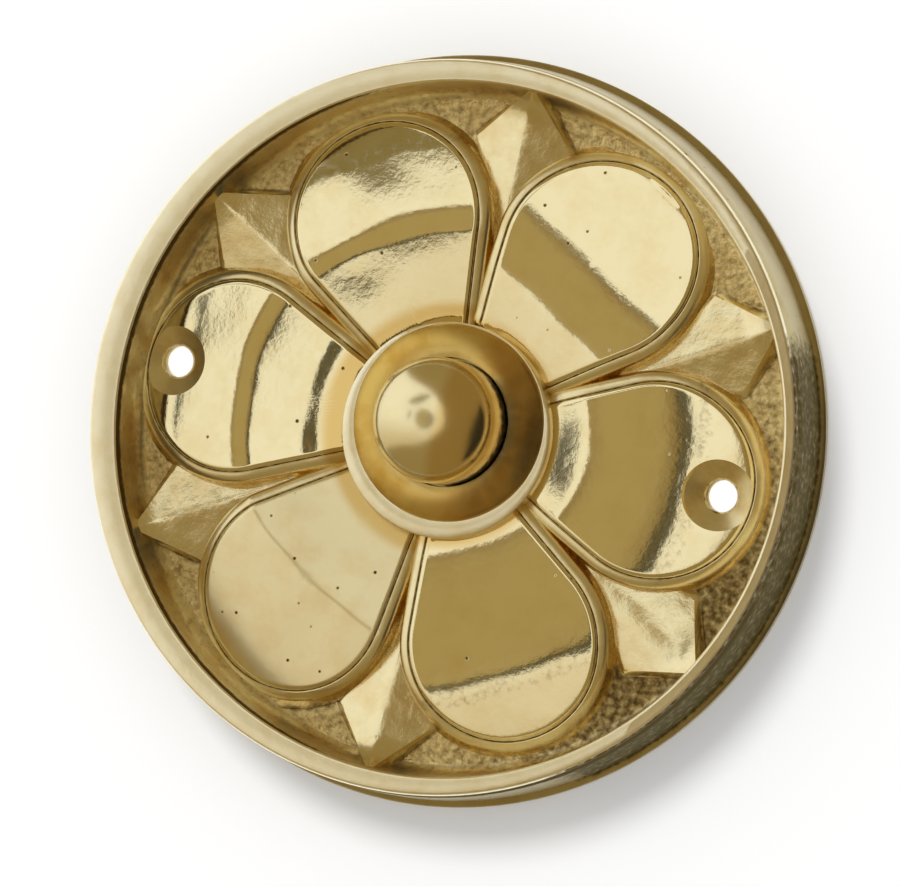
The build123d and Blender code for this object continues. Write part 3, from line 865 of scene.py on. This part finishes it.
class BELLPUSH_OT_face_plate(bpy.types.Operator):
    """Builds the casting: blank, rose, collar, countersunk holes"""

    bl_idname = "bell_push.face_plate"
    bl_label = "Face plate"

    def execute(self, context):
        sizes = settings().casting
        materials = casting_materials()
        parts = []
        for number in range(PETAL_COUNT):
            bm = new_bench_mesh()
            build_petal(bm, number)
            parts.append(hang(bm, f"petal_{number + 1}", materials, "plate"))
        for number in range(PETAL_COUNT):
            bm = new_bench_mesh()
            build_sepal(bm, number)
            parts.append(hang(bm, f"sepal_{number + 1}", materials, "plate", radians(20)))
        bm = new_bench_mesh()
        build_collar(bm, sizes)
        parts.append(hang(bm, "collar", materials, "plate"))
        bm = new_bench_mesh()
        build_blank(bm, sizes)
        blank = hang(bm, "face_plate_blank", materials, "plate")
        parts.append(blank)
        for pieces, countersunk in (((parts[0], parts[3]), True), ((blank,), False)):
            tool = hang(cutter(sizes, countersunk), "hole_cutter", materials, "plate")
            context.view_layer.update()
            for piece in pieces:
                cut_holes(piece, tool)
                piece.data.set_sharp_from_angle(angle=radians(32))
            bpy.data.objects.remove(tool)
        for piece in parts:
            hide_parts("face_plate")
        return {"FINISHED"}


# The button


class BELLPUSH_OT_push_button(bpy.types.Operator):
    """Builds the turned button with its dome, shank and flange"""

    bl_idname = "bell_push.push_button"
    bl_label = "Push button"

    def execute(self, context):
        tone = settings().finishes
        sizes = settings().button
        radius, top, shoulder = sizes.radius / MM, sizes.height / MM, sizes.shoulder / MM
        reach = radius - SHOULDER_ROUND
        rise = top - shoulder
        dome = (reach**2 + rise**2 - SHOULDER_ROUND**2) / (2 * (rise - SHOULDER_ROUND))
        join_angle = asin(reach / (dome - SHOULDER_ROUND))
        bm = new_bench_mesh()
        rows = [*BUTTON_PIP_AND_FLANGE, *((radius, height) for height in (*BUTTON_SHANK_HEIGHTS, shoulder))]
        steps = 14
        for step in range(1, steps + 1):
            turn = (pi / 2 - join_angle) * step / steps
            rows.append((reach + SHOULDER_ROUND * cos(turn), shoulder + SHOULDER_ROUND * sin(turn)))
        steps = 26
        for step in range(1, steps):
            turn = join_angle * (1 - step / steps)
            rows.append((dome * sin(turn), top - dome + dome * cos(turn)))
        turned(bm, [(r, h, CORE_CENTRE, 0, 0.0) for r, h in rows], BUTTON_SEGMENTS, closed=False)
        warm_and_reflection, dark = bm.verts.layers.float["warm_and_reflection"], bm.verts.layers.float["tarnish_and_shade"]
        for vert in bm.verts:
            side = Vector(vert.co[:2]) - Vector(CORE_CENTRE)
            # Painted reflection: the right half of the button warmer and browner
            vert[warm_and_reflection] = 0.8 * fade(side.x / radius, 0.05, 0.3)
            # Painted shade: a dark film on the right flank of the shank
            flank = fade(side.length, radius - 0.1, radius) * (1 - fade(vert.co.z, 6.0, 7.5))
            vert[dark] = 0.9 * flank * fade(cos(atan2(side.y, side.x) + radians(8)), 0.1, 0.6)
        made = metal("button_brass", tone.bright_brass, tone.warm_brass, tone.button_flank_shade,
                     cloud_share=0.15, roughness=0.2, wave_strength=0.1)
        piece = hang(bm, "button_dome", [made], "button")
        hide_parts("push_button")
        return {"FINISHED"}


# Contacts and the base behind the plate


def plain_metal(name, base, roughness):
    """A bright metal for a small turned or rolled piece."""
    return metal(name, base, base, tuple(0.3 * c for c in base), roughness=roughness,
                 cloud_share=0.0, wave_strength=0.2)


class BELLPUSH_OT_contact_base(bpy.types.Operator):
    """Gives the contact base, its contacts and screws their finishes"""

    bl_idname = "bell_push.contact_base"
    bl_label = "Contact base"

    def execute(self, context):
        tone = settings().finishes
        moulding = bpy.data.materials.new("black_moulding")
        moulding.use_nodes = True
        shader = moulding.node_tree.nodes["Principled BSDF"]
        shader.inputs["Base Color"].default_value = (*tone.moulding, 1)
        shader.inputs["Roughness"].default_value = 0.35
        finishes = {
            "contact_base": moulding,
            "fixed_contact": plain_metal("contact_brass", (0.72, 0.56, 0.28), 0.3),
            "contact_rivet": plain_metal("contact_silver", (0.8, 0.79, 0.76), 0.3),
            "terminal": plain_metal("terminal_brass", (0.7, 0.54, 0.27), 0.25),
            "base_screw": plain_metal("screw_steel", (0.5, 0.5, 0.49), 0.3),
        }
        for name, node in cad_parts.items():
            for start, finish in finishes.items():
                if name.startswith(start):
                    node.data.materials.clear()
                    node.data.materials.append(finish)
        return {"FINISHED"}


class BELLPUSH_OT_contact_leaf(bpy.types.Operator):
    """Builds the springy leaf, which bends towards the wall when the button is pressed"""

    bl_idname = "bell_push.contact_leaf"
    bl_label = "Contact leaf"

    def execute(self, context):
        bm = new_bench_mesh()
        start, end = LEAF_LINE[0][0], LEAF_LINE[-1][0]
        for vert in bmesh.ops.create_grid(bm, x_segments=86, y_segments=6, size=1.0)["verts"]:
            along = start + (end - start) * (vert.co.x + 1) / 2
            for (x1, h1), (x2, h2) in zip(LEAF_LINE, LEAF_LINE[1:]):
                if along <= x2:
                    break
            rise = h1 + (h2 - h1) * (along - x1) / (x2 - x1)
            vert.co = (CORE_CENTRE[0] + along, CORE_CENTRE[1] + vert.co.y * LEAF_WIDTH / 2, rise)
        upper = bmesh.ops.extrude_face_region(bm, geom=bm.faces[:])["geom"]
        lift = [item for item in upper if isinstance(item, bmesh.types.BMVert)]
        bmesh.ops.translate(bm, verts=lift, vec=(0, 0, LEAF_THICKNESS))
        bronze = plain_metal("spring_bronze", (0.66, 0.42, 0.24), 0.3)
        leaf = hang(bm, "contact_leaf", [bronze], None)
        bm = new_bench_mesh()
        centre = (CORE_CENTRE[0] + LEAF_HOLE[0], CORE_CENTRE[1])
        turned(bm, [(LEAF_HOLE[1], end, centre, 0, 0.0) for end in (-1.0, 1.0)], 64, closed=False)
        tool = hang(bm, "leaf_cutter", [bronze], None)
        context.view_layer.update()
        cut_holes(leaf, tool)
        bpy.data.objects.remove(tool)
        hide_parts("moving_contact")
        places = [((CORE_CENTRE[0] + x) * MM, 0.0, CORE_CENTRE[1] * MM) for x in LEAF_BEND]
        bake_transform(leaf, "plate", "button", start=places[0], end=places[1])
        return {"FINISHED"}


# Stage


def world_light():
    """Soft studio surroundings: a white tent to the left, a dim side to the right, a lens in front."""
    world = bpy.data.worlds.new("studio")
    bpy.context.scene.world = world
    world.use_nodes = True
    nodes, links = world.node_tree.nodes, world.node_tree.links
    nodes.clear()
    coords = nodes.new("ShaderNodeTexCoord")

    wiring = Wiring(world.node_tree)
    math, soft, mix = wiring.math, wiring.soft, wiring.mix

    split = nodes.new("ShaderNodeSeparateXYZ")
    links.new(coords.outputs["Generated"], split.inputs["Vector"])
    east, south, up = split.outputs[0], split.outputs[1], split.outputs[2]
    azimuth = math("MULTIPLY", math("ARCTAN2", east, math("MULTIPLY", south, -1.0)), degrees(1.0))
    elevation = math("MULTIPLY", math("ARCSINE", up), degrees(1.0))

    ragged = wiring.mottle(coords.outputs["Generated"], 22, 4, 0.6)
    stray = math("MULTIPLY_ADD", ragged, 0.5, -0.25)

    def along(turn, centre):
        """Distance in degrees from a centre, along a direction."""
        east_part = math("MULTIPLY", math("SUBTRACT", azimuth, centre[0]), cos(turn))
        up_part = math("MULTIPLY", math("SUBTRACT", elevation, centre[1]), sin(turn))
        return math("ADD", east_part, up_part)

    def blob(centre, reach, turn=0.0):
        """Squared distance from a centre with a ragged border, 1 at the reach, in degrees."""
        first = math("DIVIDE", along(turn, centre), reach[0])
        second = math("DIVIDE", along(turn + pi / 2, centre), reach[1])
        far = math("ADD", math("MULTIPLY", first, first), math("MULTIPLY", second, second))
        return math("ADD", far, stray)

    past = math("DIVIDE", math("MAXIMUM", math("ADD", azimuth, 38.0), 0.0), 48.0)
    rise = math("DIVIDE", elevation, 36.0)
    tent = math("ADD", math("MULTIPLY", past, past), math("MULTIPLY", rise, rise))
    shade = mix(soft(azimuth, 88.0, 100.0), (0.3, 0.22, 0.09), (0.62, 0.5, 0.25))
    shade = mix(soft(blob((66, -6), (20, 40)), 1.1, 0.75), shade, (0.02, 0.018, 0.012))
    white = mix(soft(elevation, -2.0, -34.0), (0.97, 0.95, 0.9), (0.66, 0.56, 0.4))
    look = mix(soft(tent, 1.08, 0.94), shade, white)
    pane = mix(soft(elevation, -13.0, 3.0), (0.47, 0.37, 0.18), (0.28, 0.2, 0.085))
    patch, lean = (-30.5, 19.8), radians(123)
    # Dark edge at the left, patch with its rim, window with its rim, and the lens in its middle
    for far, start, end, paint in (
        (blob((-37.5, -1), (1.8, 6)), 1.1, 0.8, (0.04, 0.035, 0.02)),
        (blob(patch, (4.7, 14.5), lean), 1.03, 0.97, (0.04, 0.035, 0.015)),
        (blob(patch, (3.9, 13), lean), 1.03, 0.97, (0.24, 0.19, 0.08)),
        (blob((-15.5, -2), (12.4, 11.8)), 1.05, 0.98, (0.06, 0.05, 0.02)),
        (blob((-17.5, -1), (11, 11)), 1.04, 0.97, pane),
        (blob((-17, 0), (8, 8)), 1.3, 0.6, (0.42, 0.33, 0.15)),
    ):
        look = mix(soft(far, start, end), look, paint)

    path = nodes.new("ShaderNodeLightPath")
    shine = nodes.new("ShaderNodeBackground")
    links.new(look, shine.inputs["Color"])
    fill = nodes.new("ShaderNodeBackground")
    fill.inputs["Color"].default_value = (1, 1, 1, 1)
    fill.inputs["Strength"].default_value = FILL_LIGHT
    blank = nodes.new("ShaderNodeBackground")
    blank.inputs["Color"].default_value = (1, 1, 1, 1)
    pick_shine = nodes.new("ShaderNodeMixShader")
    links.new(path.outputs["Is Glossy Ray"], pick_shine.inputs["Fac"])
    links.new(fill.outputs[0], pick_shine.inputs[1])
    links.new(shine.outputs[0], pick_shine.inputs[2])
    pick_camera = nodes.new("ShaderNodeMixShader")
    links.new(path.outputs["Is Camera Ray"], pick_camera.inputs["Fac"])
    links.new(pick_shine.outputs[0], pick_camera.inputs[1])
    links.new(blank.outputs[0], pick_camera.inputs[2])
    out = nodes.new("ShaderNodeOutputWorld")
    links.new(pick_camera.outputs[0], out.inputs["Surface"])


def backdrop_material():
    """Pale matt wall, clear from behind, so that the back can be looked at."""
    made = bpy.data.materials.new("backdrop")
    made.use_nodes = True
    nodes, links = made.node_tree.nodes, made.node_tree.links
    shader = nodes["Principled BSDF"]
    shader.inputs["Base Color"].default_value = (*settings().stage.backdrop, 1)
    shader.inputs["Roughness"].default_value = 1.0
    shader.inputs["Specular IOR Level"].default_value = 0.0
    clear = nodes.new("ShaderNodeBsdfTransparent")
    facing = nodes.new("ShaderNodeNewGeometry")
    pick = nodes.new("ShaderNodeMixShader")
    links.new(facing.outputs["Backfacing"], pick.inputs["Fac"])
    links.new(shader.outputs[0], pick.inputs[1])
    links.new(clear.outputs[0], pick.inputs[2])
    links.new(pick.outputs[0], nodes["Material Output"].inputs["Surface"])
    return made


class BELLPUSH_OT_stage(bpy.types.Operator):
    """Makes the camera, the pale wall and the light"""

    bl_idname = "bell_push.stage"
    bl_label = "Stage"

    def execute(self, context):
        stage = settings().stage
        scene = context.scene
        scene.view_settings.view_transform = "Standard"

        azimuth, elevation = stage.azimuth, stage.elevation
        back = Vector((sin(azimuth) * cos(elevation), -cos(azimuth) * cos(elevation), sin(elevation)))
        aim = Vector(AIM)
        data = bpy.data.cameras.new("camera")
        data.lens = stage.lens
        data.sensor_width = 36.0
        data.clip_start, data.clip_end = 0.01, 50.0
        camera = bpy.data.objects.new("camera", data)
        scene.collection.objects.link(camera)
        level = (-back).to_track_quat("-Z", "Y").to_matrix().to_4x4()
        camera.matrix_world = Matrix.Translation(aim + back * stage.distance) @ level @ Matrix.Rotation(
            stage.roll, 4, "Z"
        )
        scene.camera = camera

        bm = new_bench_mesh()
        outside = bmesh.ops.create_circle(bm, segments=96, radius=WALL_RADIUS)["verts"]
        opening = [vert.co * (STAGE_OPENING / WALL_RADIUS) for vert in outside]
        grow(bm, outside, opening)
        bmesh.ops.rotate(bm, verts=bm.verts, matrix=Matrix.Rotation(pi / 2, 3, "X"))
        bmesh.ops.translate(bm, verts=bm.verts, vec=(BLANK_CENTRE[0] * MM, WALL_GAP, 0))
        bmesh.ops.recalc_face_normals(bm, faces=bm.faces)
        if next(iter(bm.faces)).normal.y > 0:
            bmesh.ops.reverse_faces(bm, faces=bm.faces)
        mesh = bpy.data.meshes.new("wall")
        bm.to_mesh(mesh)
        bm.free()
        mesh.materials.append(backdrop_material())
        wall = bpy.data.objects.new("wall", mesh)
        scene.collection.objects.link(wall)

        lamp = bpy.data.lights.new("key", "AREA")
        lamp.shape = "DISK"
        lamp.size = KEY_SIZE
        lamp.energy = KEY_POWER
        key = bpy.data.objects.new("key", lamp)
        scene.collection.objects.link(key)
        spot = Vector(KEY_PLACE)
        key.location = spot
        key.rotation_mode = "QUATERNION"
        key.rotation_quaternion = (-spot).to_track_quat("-Z", "Y")
        key.visible_glossy = False
        world_light()
        return {"FINISHED"}


class BellPushSettings(bpy.types.PropertyGroup):
    """Everything that the sidebar shows."""

    casting: PointerProperty(type=CastingSizes)
    button: PointerProperty(type=ButtonSizes)
    finishes: PointerProperty(type=Finishes)
    stage: PointerProperty(type=StageSizes)


class BELLPUSH_PT_panel(bpy.types.Panel):
    """Lists the pieces in the order in which they are made"""

    bl_idname = "BELLPUSH_PT_panel"
    bl_label = "Bell push"
    bl_space_type = "VIEW_3D"
    bl_region_type = "UI"
    bl_category = "Bell Push"

    def draw(self, context):
        for operator in OPERATORS:
            self.layout.operator(operator.bl_idname)


OPERATORS = (
    BELLPUSH_OT_stage,
    BELLPUSH_OT_face_plate,
    BELLPUSH_OT_push_button,
    BELLPUSH_OT_contact_base,
    BELLPUSH_OT_contact_leaf,
)
CLASSES = (
    CastingSizes, ButtonSizes, Finishes, StageSizes, BellPushSettings, *OPERATORS, BELLPUSH_PT_panel,
)


def register():
    for item in CLASSES:
        bpy.utils.register_class(item)
    bpy.types.Scene.bell_push = PointerProperty(type=BellPushSettings)


def unregister():
    del bpy.types.Scene.bell_push
    for item in reversed(CLASSES):
        bpy.utils.unregister_class(item)


def main():
    register()
    for operator in (
        bpy.ops.bell_push.stage,
        bpy.ops.bell_push.face_plate,
        bpy.ops.bell_push.push_button,
        bpy.ops.bell_push.contact_base,
        bpy.ops.bell_push.contact_leaf,
    ):
        operator()


if __name__ == "__main__":
    main()
